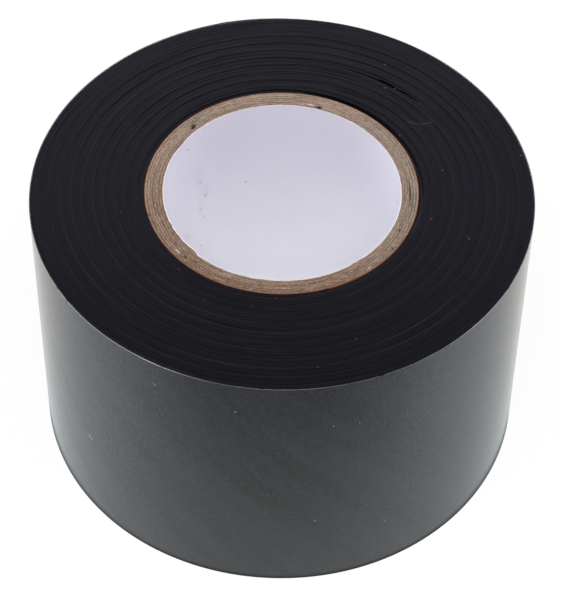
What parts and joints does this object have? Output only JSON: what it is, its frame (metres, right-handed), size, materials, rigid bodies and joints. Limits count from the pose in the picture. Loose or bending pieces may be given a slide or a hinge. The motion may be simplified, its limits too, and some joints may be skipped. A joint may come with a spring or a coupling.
{
  "type": "electrical tape roll",
  "caption": "Wide roll of black PVC electrical tape wound on a spiral-wound card core, with an open bore and a free end that peels up.",
  "frame": {"origin": "middle of the roll's lower end, on the axis of the core, where the roll stands on its end", "axes": "+Z along the axis of the core, up; +Y towards the tape's free end, +X to the right seen from the opposite side"},
  "size_m": [0.0803, 0.0805, 0.05],
  "materials": {
    "liner_paper": "matt white paper",
    "kraft_brown": "raw cut edge of brown kraft board",
    "kraft_grey": "raw cut edge of grey recycled board",
    "pvc_film": "satin black PVC film"
  },
  "bodies": {
    "roll": {"core_liner": "liner_paper", "core_ply_1": "kraft_brown", "core_ply_2": "kraft_grey", "core_ply_3": "kraft_brown", "core_ply_4": "kraft_grey", "core_ply_5": "kraft_grey", "core_ply_6": "kraft_brown", "tape_winding": "pvc_film"},
    "tail": {"tape_tail": "pvc_film"}
  },
  "joints": [
    {"name": "tail_peel", "type": "hinge", "parent": "roll", "child": "tail", "pos_m": [-0.01106, 0.03875, 0.025], "axis": [0, 0, 1], "range_deg": [0, 120]}
  ]
}
